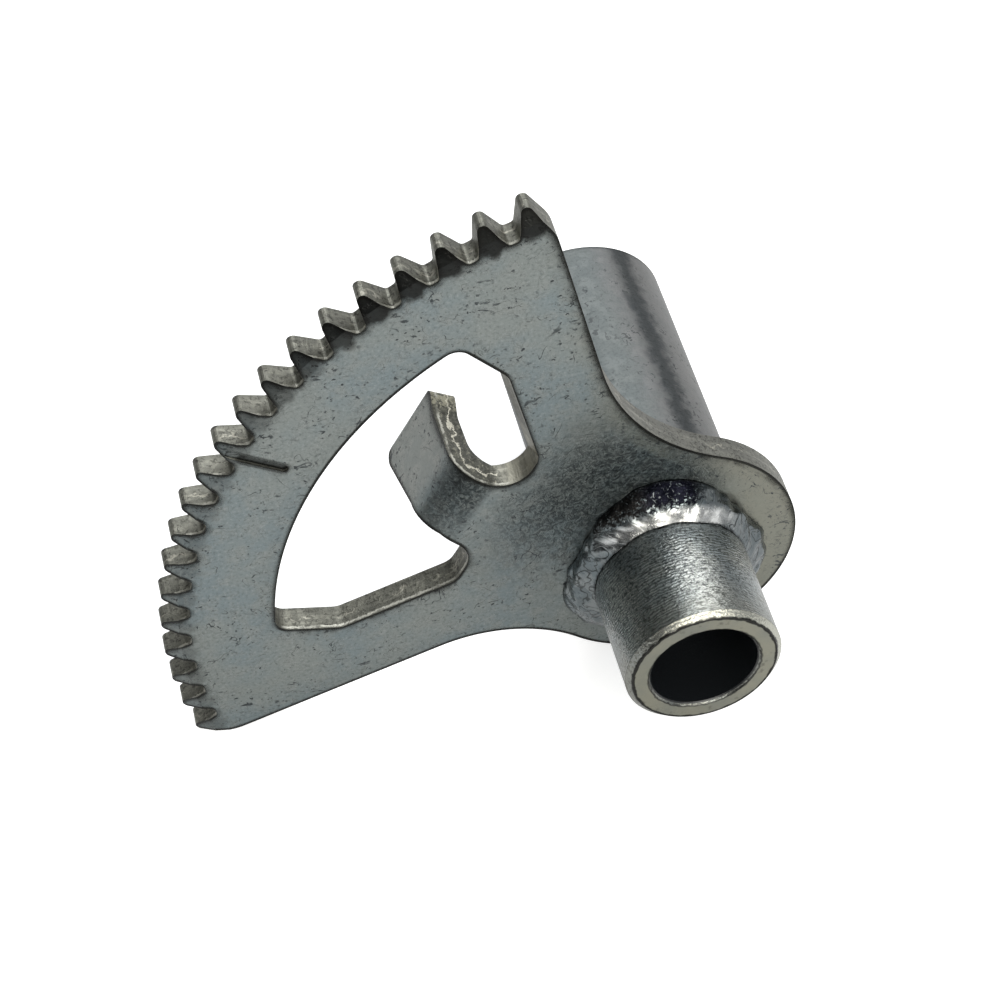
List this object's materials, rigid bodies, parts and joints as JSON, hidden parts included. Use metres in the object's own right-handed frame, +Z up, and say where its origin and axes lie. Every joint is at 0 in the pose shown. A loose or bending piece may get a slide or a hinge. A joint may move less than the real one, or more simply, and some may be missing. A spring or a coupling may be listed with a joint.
{
  "type": "sector gear",
  "caption": "Stamped sector gear with a windowed plate, a tab bent back from it and a stepped hub sleeve welded through the plate.",
  "frame": {"origin": "on the axis of the hub bore, in the plane of the plate's front face", "axes": "Y along the bore, with the short end of the sleeve towards -Y and the long end towards +Y; the sector fans out towards -X and +Z; +Z up"},
  "size_m": [0.1036, 0.0831, 0.1006],
  "materials": {
    "plate_zinc": "satin zinc plating on stamped steel, with light scuffs",
    "sleeve_zinc": "zinc plating on turned steel, with fine tool rings",
    "weld_zinc": "glossy zinc plating on a rippled weld"
  },
  "bodies": {
    "root": {"sector_plate": "plate_zinc", "hub_sleeve": "sleeve_zinc", "weld_bead": "weld_zinc"}
  },
  "joints": []
}
